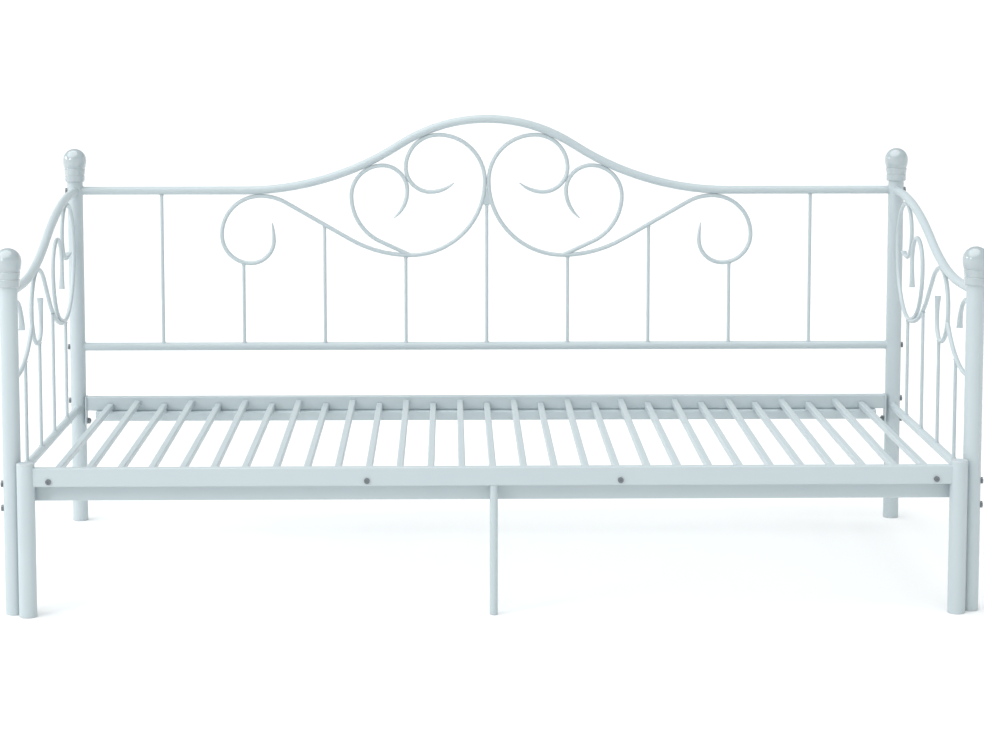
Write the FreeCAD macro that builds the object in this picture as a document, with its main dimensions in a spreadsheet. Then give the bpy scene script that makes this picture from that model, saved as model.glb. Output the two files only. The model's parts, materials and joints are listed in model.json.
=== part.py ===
import FreeCAD, Part
import math
import os

import Sketcher
from FreeCAD import Placement, Rotation, Vector

# Pull-out steel daybed.
# X runs along the bed, Y from the open front (-) to the back panel (+), Z up.
# The origin is on the floor, at the middle of the closed bed's outline.
# Two arms and the back panel are welded from bent tube and round bar.  A fixed
# comb of slats hangs between two seat rails.  A second comb of slats lies in its
# gaps, on a front frame with legs of its own, and slides out of it.

DIMENSIONS = [
    # overall
    ("post_spacing_x", 2040, "between post centres along the bed"),
    ("post_spacing_y", 930, "between post centres across the bed"),
    ("weld_sink", 0.5, "depth that welded round bars melt into each other"),
    # posts, finials and foot caps
    ("post_od", 38, "post tube diameter"),
    ("post_wall", 1.5, "post tube wall"),
    ("rear_post_top", 851, "height of the rear post tubes"),
    ("front_post_top", 701, "height of the front post tubes"),
    ("plug_gap", 0.15, "radial gap of plastic plugs in tubes"),
    ("plug_depth", 22, "length of plastic plugs in tubes"),
    ("finial_plug", 15, "length of a finial's plug, clear of the bolt below it"),
    ("foot_thick", 4, "foot cap thickness under a tube"),
    ("ball_od", 58, "finial ball diameter"),
    ("ball_centre", 53, "widest part of the ball above the tube"),
    ("neck_od", 52, "finial neck under the ball"),
    ("collar_od", 49, "finial collar diameter"),
    ("collar_round", 4, "rounded lower rim of the collar"),
    ("groove_half", 1.6, "half the width of the two grooves"),
    ("groove_round", 2, "bottom radius of the two grooves"),
    ("groove_low", 17, "lower groove above the tube"),
    ("groove_high", 33, "upper groove above the tube"),
    # tubes and bars of the panels
    ("rail_od", 20, "panel rail diameter"),
    ("rail_wall", 1.5, "panel rail wall"),
    ("bar_od", 10, "scroll bar diameter"),
    ("rod_od", 8, "upright rod diameter"),
    # back panel rails
    ("back_rail_z", 829, "straight part of the top rail"),
    ("back_low_z", 439, "lower rail of the back panel"),
    ("arch_rise", 177, "crown of the top rail above its straight part"),
    ("arch_run", 600, "half length of the arched part"),
    ("arch_share", 0.36, "crown bend's share of the arch"),
    ("back_rod_pitch", 201.5, "between upright rods of the back panel"),
    # arm rails
    ("arm_rear_z", 827, "arm top rail at the rear post"),
    ("arm_front_z", 687, "arm top rail at the front post"),
    ("arm_low_z", 284, "lower rail of the arms"),
    ("arm_flat_rear", 35, "level part of the arm rail at the rear post"),
    ("arm_flat_front", 142, "level part of the arm rail at the front post"),
    ("arm_share", 0.55, "upper bend's share of the arm rail"),
    # long scroll of the back panel: bend radii from the inner tip to the outer tip
    ("back_tip_r", 87, "free end of the curl"),
    ("back_tip_turn", 42, "turn of the curl's free end, in degrees"),
    ("back_curl_low_r", 61, "lower quarter of the curl"),
    ("back_curl_side_r", 81, "outer quarter of the curl"),
    ("back_loop_top_r", 115, "upper quarter of the loop"),
    ("back_loop_low_r", 185, "lower quarter of the loop"),
    ("back_sweep_r", 300, "sweep out of the loop"),
    ("back_crest_r", 124, "crest before the outer scroll"),
    ("back_outer_r", 97, "outer quarter of the outer scroll"),
    ("back_under_r", 71, "lower quarter of the outer scroll"),
    ("back_inner_r", 58, "inner quarter of the outer scroll"),
    ("back_end_tip_r", 220, "free end of the outer scroll"),
    ("back_end_tip_turn", 11, "turn of the outer scroll's free end, in degrees"),
    ("back_crest_run", 371.25, "crest from the lowest point of the loop, outwards"),
    ("gusset_wide", 19, "width of the gusset at its foot"),
    ("gusset_tip", 2.4, "width of the gusset at its top"),
    ("gusset_thick", 4, "gusset plate"),
    # hook of the back panel
    ("back_hook_s", 336, "outer side of the hook from the middle"),
    ("back_hook_top_r", 76.5, "upper quarter of the hook"),
    ("back_hook_low_r", 125, "lower bend of the hook"),
    ("back_hook_tip_r", 87, "free end of the hook"),
    ("back_hook_tip_turn", 52, "turn of the hook's free end, in degrees"),
    # long scroll of the arms
    ("arm_loop_s", 36, "loop's rear side from the rear post centre"),
    ("arm_tip_r", 100, "free end of the curl"),
    ("arm_tip_turn", 25, "turn of the curl's free end, in degrees"),
    ("arm_curl_low_r", 59, "lower quarter of the curl"),
    ("arm_curl_side_r", 70, "front quarter of the curl"),
    ("arm_loop_top_r", 110, "upper quarter of the loop"),
    ("arm_loop_low_r", 168, "lower quarter of the loop"),
    ("arm_sweep_r", 330, "sweep out of the loop"),
    ("arm_crest_r", 134, "crest before the front scroll"),
    ("arm_outer_r", 85, "front quarter of the front scroll"),
    ("arm_under_r", 80, "lower quarter of the front scroll"),
    ("arm_inner_r", 42, "rear quarter of the front scroll"),
    ("arm_end_tip_r", 250, "free end of the front scroll"),
    ("arm_end_tip_turn", 13, "turn of the front scroll's free end, in degrees"),
    ("arm_crest_behind", 360, "crest behind the front post centre"),
    # hook of the arms
    ("arm_hook_s", 356, "front side of the hook from the rear post centre"),
    ("arm_hook_z", 668, "height of the hook's front side"),
    ("arm_hook_top_r", 68, "upper quarter of the hook"),
    ("arm_hook_inner_r", 62, "rear quarter of the hook"),
    ("arm_hook_low_r", 130, "lower bend of the hook"),
    ("arm_hook_tip_r", 300, "free end of the hook"),
    ("arm_hook_tip_turn", 12, "turn of the hook's free end, in degrees"),
    # end scroll between the front scroll and the front post
    ("end_sweep_r", 280, "long bend of the end scroll"),
    ("end_low_r", 55, "lower quarter at the post"),
    ("end_upright", 47, "straight part along the post"),
    ("end_high_r", 58, "upper quarter at the post"),
    ("end_inner_r", 70, "last quarter, down to the free end"),
    ("end_lean", 20, "where the end scroll starts on the front scroll, in degrees below level"),
    # seat rails
    ("seat_rail_deep", 20, "seat rails, front to back"),
    ("seat_rail_tall", 40, "height of the front seat rail"),
    ("seat_rail_wall", 1.5, "wall of the seat rails"),
    ("seat_rail_round", 3, "outer corner radius of the seat rails"),
    ("seat_top_z", 284, "top of the front seat rail"),
    ("rear_rail_tall", 35, "height of the rear seat rail"),
    ("ledge_top_z", 280, "top of the ledge under the rear seat rail"),
    ("ledge_tall", 23, "height of the ledge"),
    ("ledge_deep", 40, "ledge, front to back"),
    ("ledge_cutback", 25, "ledge ends short of the plates"),
    ("rail_setback", 8, "seat rails inside the post centres"),
    ("plate_thick", 3, "end plates"),
    ("plate_wide", 30, "end plates, front to back"),
    ("plate_tall", 70, "end plate height"),
    ("bolt_drop", 11, "upper bolt of a plate below the top of its rail or plate"),
    ("front_plate_rise", 8, "front plate above the front seat rail"),
    ("bolt_pitch", 52, "between the two bolts of a plate"),
    # slats
    ("slat_wide", 15, "slat width"),
    ("slat_tall", 14, "slat height"),
    ("slat_wall", 1.2, "slat wall"),
    ("slat_round", 3, "outer corner radius of a slat"),
    ("slat_pitch", 134, "between slats of one comb"),
    ("slat_fall", 8, "fixed slats fall this much towards the front"),
    ("slat_overhang", 1, "front end of the fixed slats behind the post centres"),
    ("slide_gap", 0.3, "sliding slats above what they slide on"),
    # pull-out frame
    ("leg_inset_x", 33, "pull-out legs inside the post centres"),
    ("leg_ahead_y", 25, "pull-out legs in front of the post centres"),
    ("pullout_rail_deep", 20, "pull-out rail, front to back"),
    ("pullout_rail_tall", 40, "pull-out rail height"),
    ("pullout_rail_top", 320, "top of the pull-out rail"),
    ("leg_above_rail", 6, "leg tube above the pull-out rail"),
    ("strip_thick", 3, "strip that joins the sliding slats"),
    ("strip_tall", 26, "strip height"),
    ("strip_margin", 16, "strip beyond the outer slats' centres"),
    ("centre_leg_od", 17, "centre leg diameter"),
    ("centre_leg_wall", 1.5, "centre leg wall"),
    ("glide_flange", 2, "glide behind the end of a slat"),
    ("glide_foot", 23, "glide under the end of a slat"),
    ("glide_end_gap", 1.5, "glide to the face of the rear seat rail"),
    # fasteners
    ("bolt_od", 8, "M8 bolts"),
    ("bolt_hole", 8.6, "holes for M8 bolts"),
    ("bolt_head_od", 14, "M8 head diameter"),
    ("bolt_head_tall", 4.5, "M8 head height"),
    ("bolt_key", 5, "M8 socket across flats"),
    ("bolt_key_floor", 1.5, "M8 socket floor above the shank"),
    ("nut_flats", 13, "M8 nut across flats"),
    ("nut_tall", 6.5, "M8 nut height"),
    ("bolt_beyond", 2, "bolt beyond its nut"),
    ("bolt_end_gap", 0.5, "end of a bolt inside a tapped plate"),
    ("screw_od", 6, "M6 screws of the pull-out rail"),
    ("screw_hole", 6.6, "holes for M6 screws"),
    ("screw_head_od", 12, "M6 head diameter"),
    ("screw_head_tall", 3.3, "M6 head height"),
    ("screw_key", 4, "M6 socket across flats"),
    ("screw_key_floor", 1.1, "M6 socket floor above the shank"),
    ("screw_grip", 18, "M6 thread inside a slat"),
    ("insert_long", 25, "threaded plugs"),
    ("thread_gap", 0.05, "radial gap of a bolt in its thread"),
]

FIXED_SLATS = 14
SLIDING_SLATS = 15
BACK_RODS = 9
ARM_RODS = 4
SCREWED_SLATS = (-7, -2, 2, 7)
SIDES = (("left", -1), ("right", 1))
TOUCH = 0.01  # lengths closer than this count as meeting, in millimetres
VOLUME_SLACK = 0.01  # share by which a swept bar may miss its expected volume

doc = FreeCAD.newDocument("daybed")
sheet = doc.addObject("Spreadsheet::Sheet", "dims")
for row, (alias, value, meaning) in enumerate(DIMENSIONS, start=1):
    sheet.set(f"A{row}", meaning)
    sheet.set(f"B{row}", str(value))
    sheet.setAlias(f"B{row}", alias)
doc.recompute()


def size(alias):
    return float(sheet.get(alias))


# ---------------------------------------------------------------- shared places
# The closed bed reaches from the pull-out legs to the rear finials, and the
# origin is midway between the two.
CENTRE = "(dims.leg_ahead_y + dims.post_od / 2 - dims.ball_od / 2) / 2"
POST_X = "dims.post_spacing_x / 2"
REAR_Y = f"(dims.post_spacing_y / 2 + {CENTRE})"
FRONT_Y = f"(-dims.post_spacing_y / 2 + {CENTRE})"
LEG_X = f"({POST_X} - dims.leg_inset_x)"
LEG_Y = f"({FRONT_Y} - dims.leg_ahead_y)"
REAR_RAIL_Y = f"({REAR_Y} - dims.rail_setback)"
FRONT_RAIL_Y = f"({FRONT_Y} + dims.rail_setback)"
REAR_RAIL_TOP = "(dims.ledge_top_z + dims.rear_rail_tall)"
FRONT_PLATE_TOP = "(dims.seat_top_z + dims.front_plate_rise)"
REAR_BOLT_TOP = f"({REAR_RAIL_TOP} - dims.bolt_drop)"
FRONT_BOLT_TOP = f"({FRONT_PLATE_TOP} - dims.bolt_drop)"
PLATE_FACE = f"({POST_X} - dims.post_od / 2)"
SEAT_RAIL_LONG = f"(2 * ({PLATE_FACE} - dims.plate_thick))"
STRIP_FRONT = f"({LEG_Y} + dims.pullout_rail_deep / 2)"
STRIP_BACK = f"({STRIP_FRONT} + dims.strip_thick)"
SLAT_Z = "(dims.seat_top_z + dims.slide_gap + dims.slat_tall / 2)"
REAR_RAIL_FACE = f"({REAR_RAIL_Y} - dims.seat_rail_deep / 2)"
SLAT_END = f"({REAR_RAIL_FACE} - dims.glide_end_gap - dims.glide_flange)"

probe = doc.addObject("App::FeaturePython", "probe")
probe.addProperty("App::PropertyFloat", "value")


def measure(expression):
    """The value of an expression of sheet cells, in millimetres."""
    probe.setExpression("value", expression)
    doc.recompute()
    return probe.value


post_x = measure(POST_X)
rear_y = measure(REAR_Y)
rail_r = size("rail_od") / 2
bar_r = size("bar_od") / 2
post_r = size("post_od") / 2
weld = size("weld_sink")

NODES = []


def keep(thing, label):
    thing.Label = label
    NODES.append(thing)
    return thing


def bind(thing, **expressions):
    for name, expression in expressions.items():
        thing.setExpression(name, expression)
    return thing


def place(thing, x=None, y=None, z=None):
    for axis, expression in (("x", x), ("y", y), ("z", z)):
        if expression:
            thing.setExpression(f"Placement.Base.{axis}", expression)
    return thing


# ---------------------------------------------------------------- sketch helpers
def new_body(name):
    body = doc.addObject("PartDesign::Body", name)
    body.AllowCompound = True
    return body


def origin_feature(body, role):
    return next(item for item in body.Origin.OriginFeatures if item.Role == role)


def new_sketch(body, role, name, lift=None):
    sketch = body.newObject("Sketcher::SketchObject", name)
    sketch.AttachmentSupport = [(origin_feature(body, role), "")]
    sketch.MapMode = "FlatFace"
    if lift:
        sketch.setExpression("AttachmentOffset.Base.z", lift)
    return sketch


def constrain(sketch, kind, *where, by):
    index = sketch.addConstraint(Sketcher.Constraint(kind, *where))
    sketch.setExpression(f"Constraints[{index}]", by)


def draw_circle(sketch, radius, x=None, y=None):
    """A circle of bound radius, at the sketch's origin or at a bound place."""
    r = measure(radius)
    cx = measure(x) if x else 0
    cy = measure(y) if y else 0
    circle = Part.Circle(Vector(cx, cy, 0), Vector(0, 0, 1), r)
    index = sketch.addGeometry(circle, False)
    constrain(sketch, "Radius", index, r, by=radius)
    if not x and not y:
        sketch.addConstraint(Sketcher.Constraint("Coincident", index, 3, -1, 1))
        return
    if x:
        constrain(sketch, "DistanceX", -1, 1, index, 3, cx, by=x)
    else:
        sketch.addConstraint(Sketcher.Constraint("PointOnObject", index, 3, -2))
    if y:
        constrain(sketch, "DistanceY", -1, 1, index, 3, cy, by=y)
    else:
        sketch.addConstraint(Sketcher.Constraint("PointOnObject", index, 3, -1))


def draw_rounded_box(sketch, width, height, corner):
    """A rectangle with round corners, centred on the sketch's origin."""
    r = measure(corner)
    x = measure(width) / 2 - r
    y = measure(height) / 2 - r
    centres = ((x, y), (-x, y), (-x, -y), (x, -y))
    arcs = []
    for quarter, (cx, cy) in enumerate(centres):
        circle = Part.Circle(Vector(cx, cy, 0), Vector(0, 0, 1), r)
        start = math.radians(90 * quarter)
        arc = Part.ArcOfCircle(circle, start, start + math.pi / 2)
        arcs.append(sketch.addGeometry(arc, False))
    ends = (((x, y + r), (-x, y + r)), ((-x - r, y), (-x - r, -y)),
            ((-x, -y - r), (x, -y - r)), ((x + r, -y), (x + r, y)))
    sides = []
    for (ax, ay), (bx, by) in ends:
        side = Part.LineSegment(Vector(ax, ay, 0), Vector(bx, by, 0))
        sides.append(sketch.addGeometry(side, False))
    for i in range(4):
        following = arcs[(i + 1) % 4]
        sketch.addConstraint(Sketcher.Constraint("Tangent", arcs[i], 2, sides[i], 1))
        sketch.addConstraint(Sketcher.Constraint("Tangent", sides[i], 2, following, 1))
    for arc in arcs[1:]:
        sketch.addConstraint(Sketcher.Constraint("Equal", arcs[0], arc))
    sketch.addConstraint(Sketcher.Constraint("Horizontal", sides[0]))
    sketch.addConstraint(Sketcher.Constraint("Vertical", sides[1]))
    sketch.addConstraint(Sketcher.Constraint("Symmetric", arcs[0], 3, arcs[2], 3, -1, 1))
    constrain(sketch, "Radius", arcs[0], r, by=corner)
    constrain(sketch, "DistanceX", arcs[1], 3, arcs[0], 3, 2 * x, by=f"{width} - 2 * {corner}")
    constrain(sketch, "DistanceY", arcs[2], 3, arcs[1], 3, 2 * y, by=f"{height} - 2 * {corner}")


def draw_box(sketch, width, height, up="0"):
    """A rectangle with sharp corners, its centre on the sketch's upright axis."""
    x = measure(width) / 2
    y = measure(height) / 2
    middle = measure(up)
    corners = [Vector(x, middle + y, 0), Vector(-x, middle + y, 0),
               Vector(-x, middle - y, 0), Vector(x, middle - y, 0)]
    sides = []
    for i in range(4):
        side = Part.LineSegment(corners[i], corners[(i + 1) % 4])
        sides.append(sketch.addGeometry(side, False))
    for i in range(4):
        sketch.addConstraint(Sketcher.Constraint("Coincident", sides[i], 2, sides[(i + 1) % 4], 1))
    for i in (0, 2):
        sketch.addConstraint(Sketcher.Constraint("Horizontal", sides[i]))
        sketch.addConstraint(Sketcher.Constraint("Vertical", sides[i + 1]))
    constrain(sketch, "DistanceX", sides[2], 1, sides[2], 2, 2 * x, by=width)
    constrain(sketch, "DistanceY", sides[1], 2, sides[1], 1, 2 * y, by=height)
    constrain(sketch, "DistanceX", -1, 1, sides[0], 1, x, by=f"{width} / 2")
    constrain(sketch, "DistanceY", -1, 1, sides[0], 1, middle + y, by=f"{up} + {height} / 2")


def draw_outline(sketch, corners, bends):
    """A closed outline through bound corners, anticlockwise; None is a place on an axis.
    bends gives the radius of a side, and 1 to bulge outwards or -1 inwards."""
    points = [Vector(measure(x) if x else 0, measure(y) if y else 0, 0) for x, y in corners]
    ends = []
    for i, start in enumerate(points):
        end = points[(i + 1) % len(points)]
        if i in bends:
            radius, bulge = bends[i]
            r = measure(radius)
            along = end - start
            outwards = Vector(along.y, -along.x, 0).normalize()
            rise = r - math.sqrt(max(r ** 2 - (along.Length / 2) ** 2, 0))
            middle = (start + end) / 2 + outwards * rise * bulge
            index = sketch.addGeometry(Part.Arc(start, middle, end), False)
            constrain(sketch, "Radius", index, r, by=radius)
        else:
            index = sketch.addGeometry(Part.LineSegment(start, end), False)
        first = 1 if sketch.getPoint(index, 1).distanceToPoint(start) < TOUCH else 2
        ends.append(((index, first), (index, 3 - first)))
    for i, (x, y) in enumerate(corners):
        sketch.addConstraint(Sketcher.Constraint("Coincident", *ends[i - 1][1], *ends[i][0]))
        if x:
            constrain(sketch, "DistanceX", -1, 1, *ends[i][0], points[i].x, by=x)
        else:
            sketch.addConstraint(Sketcher.Constraint("PointOnObject", *ends[i][0], -2))
        if y:
            constrain(sketch, "DistanceY", -1, 1, *ends[i][0], points[i].y, by=y)
        else:
            sketch.addConstraint(Sketcher.Constraint("PointOnObject", *ends[i][0], -1))


def pad(body, sketch, length, both_ways=False):
    feature = body.newObject("PartDesign::Pad", sketch.Name + "_pad")
    feature.Profile = sketch
    feature.Midplane = both_ways
    feature.setExpression("Length", length)
    doc.recompute()
    return feature


def pocket_through(body, sketch):
    """Cut the sketch right through the body, both ways from its plane."""
    before = body.Shape.Volume
    feature = body.newObject("PartDesign::Pocket", sketch.Name + "_pocket")
    feature.Profile = sketch
    feature.Type = "ThroughAll"
    feature.Midplane = True
    doc.recompute()
    if body.Shape.Volume >= before:
        raise ValueError(f"{feature.Name} cuts nothing")
    return feature


def repeat_along_x(body, feature, length, count):
    """Repeat a feature along X, centred on the body's own origin."""
    pattern = body.newObject("PartDesign::LinearPattern", body.Name + "_row")
    pattern.Originals = [feature]
    pattern.Direction = (origin_feature(body, "X_Axis"), [""])
    pattern.setExpression("Length", length)
    pattern.Occurrences = count
    body.Tip = pattern
    doc.recompute()
    return pattern


# ---------------------------------------------------------------- posts and caps
def make_post(label, height, bolt_heights, x, y):
    """A round tube on its foot cap, drilled along X for any bolts."""
    body = new_body(label)
    ring = new_sketch(body, "XY_Plane", label + "_ring", "dims.foot_thick")
    draw_circle(ring, "dims.post_od / 2")
    draw_circle(ring, "dims.post_od / 2 - dims.post_wall")
    pad(body, ring, f"{height} - dims.foot_thick")
    if bolt_heights:
        drill = new_sketch(body, "YZ_Plane", label + "_drill")
        for bolt_height in bolt_heights:
            draw_circle(drill, "dims.bolt_hole / 2", y=bolt_height)
        pocket_through(body, drill)
    keep(place(body, x=x, y=y), label)


def make_cylinder(name, radius, height, z=None):
    cylinder = doc.addObject("Part::Cylinder", name)
    bind(cylinder, Radius=radius, Height=height)
    return place(cylinder, z=z)


def fuse(name, parts):
    joined = doc.addObject("Part::MultiFuse", name)
    joined.Shapes = parts
    return joined


def cut(name, base, tool):
    remainder = doc.addObject("Part::Cut", name)
    remainder.Base = base
    remainder.Tool = tool
    return remainder


def make_plug(name, tube, wall, depth):
    """The spigot of a cap, below its own zero."""
    radius = f"{tube} / 2 - {wall} - dims.plug_gap"
    return make_cylinder(name + "_plug", radius, depth, f"-{depth}")


# the ball swells from the neck to its widest part on a bend that ends upright there
SWELL = "(dims.ball_centre - dims.groove_high - dims.groove_half)"
BULGE = "(dims.ball_od / 2 - dims.neck_od / 2)"
FINIAL_OUTLINE = (
    (None, "-dims.finial_plug"),
    ("dims.post_od / 2 - dims.post_wall - dims.plug_gap", "-dims.finial_plug"),
    ("dims.post_od / 2 - dims.post_wall - dims.plug_gap", None),
    ("dims.collar_od / 2 - dims.collar_round", None),
    ("dims.collar_od / 2", "dims.collar_round"),
    ("dims.collar_od / 2", "dims.groove_low - dims.groove_half"),
    ("dims.collar_od / 2", "dims.groove_low + dims.groove_half"),
    ("dims.neck_od / 2", "dims.groove_high - dims.groove_half"),
    ("dims.neck_od / 2", "dims.groove_high + dims.groove_half"),
    ("dims.ball_od / 2", "dims.ball_centre"),
    (None, "dims.ball_centre + dims.ball_od / 2"),
)
FINIAL_BENDS = {
    3: ("dims.collar_round", 1),
    5: ("dims.groove_round", -1),
    7: ("dims.groove_round", -1),
    8: (f"({SWELL} ^ 2 + {BULGE} ^ 2) / (2 * {BULGE})", 1),
    9: ("dims.ball_od / 2", 1),
}


def make_finial(label, x, y, z):
    """A ball on a grooved collar, with a plug that sits in the post."""
    body = new_body(label)
    outline = new_sketch(body, "XZ_Plane", label + "_outline")
    draw_outline(outline, FINIAL_OUTLINE, FINIAL_BENDS)
    turned = body.newObject("PartDesign::Revolution", label + "_turned")
    turned.Profile = outline
    turned.ReferenceAxis = (outline, ["V_Axis"])
    turned.Angle = 360
    doc.recompute()
    keep(place(body, x=x, y=y, z=z), label)


def make_cap(label, tube, wall, x, y, z, upwards):
    """A flat cap with a plug: under a tube it points up, on top it points down."""
    disc = make_cylinder(label + "_disc", f"{tube} / 2", "dims.foot_thick")
    cap = fuse(label, [disc, make_plug(label, tube, wall, "dims.plug_depth")])
    if upwards:
        cap.Placement.Rotation = Rotation(Vector(1, 0, 0), 180)
    keep(place(cap, x=x, y=y, z=z), label)


REAR_HOLES = ("dims.back_rail_z", "dims.back_low_z", REAR_BOLT_TOP, f"{REAR_BOLT_TOP} - dims.bolt_pitch")
FRONT_HOLES = (FRONT_BOLT_TOP, f"{FRONT_BOLT_TOP} - dims.bolt_pitch")

for row_name, row_y, row_top, holes in (("rear", REAR_Y, "dims.rear_post_top", REAR_HOLES),
                                        ("front", FRONT_Y, "dims.front_post_top", FRONT_HOLES)):
    for side, sign in SIDES:
        at_x = f"{sign} * {POST_X}"
        make_post(f"{row_name}_post_{side}", row_top, holes, at_x, row_y)
        make_finial(f"{row_name}_finial_{side}", at_x, row_y, row_top)
        make_cap(f"{row_name}_foot_{side}", "dims.post_od", "dims.post_wall",
                 at_x, row_y, "dims.foot_thick", upwards=True)


# ---------------------------------------------------------------- bent bars
# Panel outlines are drawn in a plane of their own: s outwards from the panel's
# inner side, z up.  A path is a list of straight runs and round bends, each
# tangent to the one before.  Headings and turns are in degrees, left positive.
def step(point, heading, distance):
    angle = math.radians(heading)
    return (point[0] + distance * math.cos(angle), point[1] + distance * math.sin(angle))


def trace(start, heading, moves):
    """The edges of a path, and the point where it ends."""
    edges = []
    for length, turn in moves:
        if turn == 0:
            end = step(start, heading, length)
            edges.append((start, end))
        else:
            to_centre = 90 if turn > 0 else -90
            centre = step(start, heading + to_centre, length)
            middle = step(centre, heading - to_centre + turn / 2, length)
            end = step(centre, heading - to_centre + turn, length)
            edges.append((start, middle, end))
        start = end
        heading += turn
    return edges, start


def reverse(edges):
    return [tuple(reversed(edge)) for edge in reversed(edges)]


def to_wire(edges):
    curves = []
    for edge in edges:
        points = [Vector(s, 0, z) for s, z in edge]
        curve = Part.LineSegment(*points) if len(points) == 2 else Part.Arc(*points)
        curves.append(curve.toShape())
    return Part.Wire(curves)


def sweep_round(edges, radius):
    """A round bar along the path."""
    wire = to_wire(edges)
    first = wire.Edges[0]
    start = first.valueAt(first.FirstParameter)
    direction = first.tangentAt(first.FirstParameter)
    profile = Part.Wire(Part.makeCircle(radius, start, direction))
    solid = wire.makePipeShell([profile], True, False)
    expected = math.pi * radius ** 2 * wire.Length
    if abs(solid.Volume - expected) > VOLUME_SLACK * expected:
        raise ValueError("a swept bar lost volume")
    return solid


def ogee(run, rise, share):
    """Turn and radii of two bends that climb between level ends; the first is at the top."""
    turn = 2 * math.atan2(rise, run)
    total = run / math.sin(turn)
    return math.degrees(turn), total * share, total * (1 - share)


def keep_bent(label, shape, x, y, turn):
    """A bent piece as an object of its own, turned about Z from its panel plane."""
    thing = doc.addObject("Part::Feature", label)
    thing.Shape = shape
    thing.Placement = Placement(Vector(x, y, 0), Rotation(Vector(0, 0, 1), turn))
    return keep(thing, label)


def bent_tube(edges, posts):
    """A hollow rail along the path, coped to the posts at its ends."""
    outer = sweep_round(edges, rail_r)
    inner = sweep_round(edges, rail_r - size("rail_wall"))
    tube = outer.cut(inner)
    for post in posts:
        below = Vector(post, 0, 0)
        tube = tube.cut(Part.makeCylinder(post_r, size("rear_post_top"), below))
    return tube


# top rail of the back panel: level, up over a crown, level again
back_rail_z = size("back_rail_z")
arch_run = size("arch_run")
arch_turn, crown_r, foot_r = ogee(arch_run, size("arch_rise"), size("arch_share"))
back_flat = post_x - arch_run
arch_moves = [(back_flat, 0), (foot_r, arch_turn), (crown_r, -2 * arch_turn),
              (foot_r, arch_turn), (back_flat, 0)]
arch_edges, _ = trace((-post_x, back_rail_z), 0, arch_moves)
keep_bent("back_top_rail", bent_tube(arch_edges, (-post_x, post_x)), 0, rear_y, 0)
crown_z = back_rail_z + size("arch_rise")
crown_centre = (0, crown_z - crown_r)
foot_centre = (arch_run, back_rail_z + foot_r)

# top rails of the arms: level at the rear post, down an ogee, level at the front post
arm_long = size("post_spacing_y")
arm_rear_z = size("arm_rear_z")
arm_front_z = size("arm_front_z")
arm_flat_rear = size("arm_flat_rear")
arm_flat_front = size("arm_flat_front")
arm_run = arm_long - arm_flat_rear - arm_flat_front
arm_turn, arm_high_r, arm_low_r = ogee(arm_run, arm_rear_z - arm_front_z, size("arm_share"))
arm_moves = [(arm_flat_rear, 0), (arm_high_r, -arm_turn), (arm_low_r, arm_turn), (arm_flat_front, 0)]
arm_edges, _ = trace((0, arm_rear_z), 0, arm_moves)
arm_tube = bent_tube(arm_edges, (0, arm_long))
arm_high_centre = (arm_flat_rear, arm_rear_z - arm_high_r)
arm_low_centre = (arm_long - arm_flat_front, arm_front_z + arm_low_r)
for side, sign in SIDES:
    keep_bent(f"arm_top_rail_{side}", arm_tube, sign * post_x, rear_y, -90)


# ---------------------------------------------------------------- scrolls
contact = rail_r + bar_r - weld


def top_under(over_centre, over_r, s, r):
    """Height of the top of a bend of radius r at s that hangs under a crown bend."""
    reach = over_r - r - contact
    return over_centre[1] + r + math.sqrt(reach ** 2 - (s - over_centre[0]) ** 2)


def top_below(over_centre, over_r, s, r):
    """Height of the top of a bend of radius r at s that hangs under a foot bend."""
    reach = over_r + r + contact
    return over_centre[1] + r - math.sqrt(reach ** 2 - (s - over_centre[0]) ** 2)


def join_bends(left_centre, left_r, right_centre, right_r):
    """Heading and length of the straight run from a left bend into a right bend."""
    ds = right_centre[0] - left_centre[0]
    dz = right_centre[1] - left_centre[1]
    between = math.hypot(ds, dz)
    lean = math.asin((left_r + right_r) / between)
    return math.degrees(math.atan2(dz, ds) + lean), between * math.cos(lean)


def join_point(point, centre, r):
    """Heading and length of the straight run from a point into a left bend."""
    ds = centre[0] - point[0]
    dz = centre[1] - point[1]
    between = math.hypot(ds, dz)
    lean = math.asin(r / between)
    return math.degrees(math.atan2(dz, ds) - lean), between * math.cos(lean)


def long_scroll(panel, side_s, crest_s, over_centre, over_r, foot_bend_centre, foot_bend_r):
    """The S of a panel: a curl inside a loop, a sweep, and a scroll under the rail."""
    def r(name):
        return size(f"{panel}_{name}_r")

    top_s = side_s + r("loop_top")
    top_z = top_under(over_centre, over_r, top_s, r("curl_side"))
    side = (side_s, top_z - r("loop_top"))
    upper, _ = trace(side, 90, [(r("loop_top"), -90), (r("curl_side"), -90),
                                  (r("curl_low"), -90), (r("tip"), -size(f"{panel}_tip_turn"))])
    bottom = (side_s + r("loop_low"), side[1] - r("loop_low"))
    crest = (crest_s, top_below(foot_bend_centre, foot_bend_r, crest_s, r("outer")))
    heading, run = join_bends((bottom[0], bottom[1] + r("sweep")), r("sweep"),
                              (crest[0], crest[1] - r("crest")), r("crest"))
    lower, _ = trace(side, -90, [(r("loop_low"), 90), (r("sweep"), heading), (run, 0),
                                   (r("crest"), -heading), (r("outer"), -90), (r("under"), -90),
                                   (r("inner"), -90), (r("end_tip"), -size(f"{panel}_end_tip_turn"))])
    curl_side = (top_s + r("curl_side"), top_z - r("curl_side"))
    return reverse(upper) + lower, bottom, crest, curl_side


def hook(panel, start, outer_s, outer_z, inner_r):
    """The hook of a panel: it leaves the bottom of the loop and curls back over it."""
    def r(name):
        return size(f"{panel}_hook_{name}_r")

    heading, run = join_point(start, (outer_s - r("low"), outer_z), r("low"))
    moves = [(run, 0), (r("low"), 90 - heading), (r("top"), 90), (inner_r, 90),
             (r("tip"), size(f"{panel}_hook_tip_turn"))]
    return trace(start, heading, moves)[0]


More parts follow.
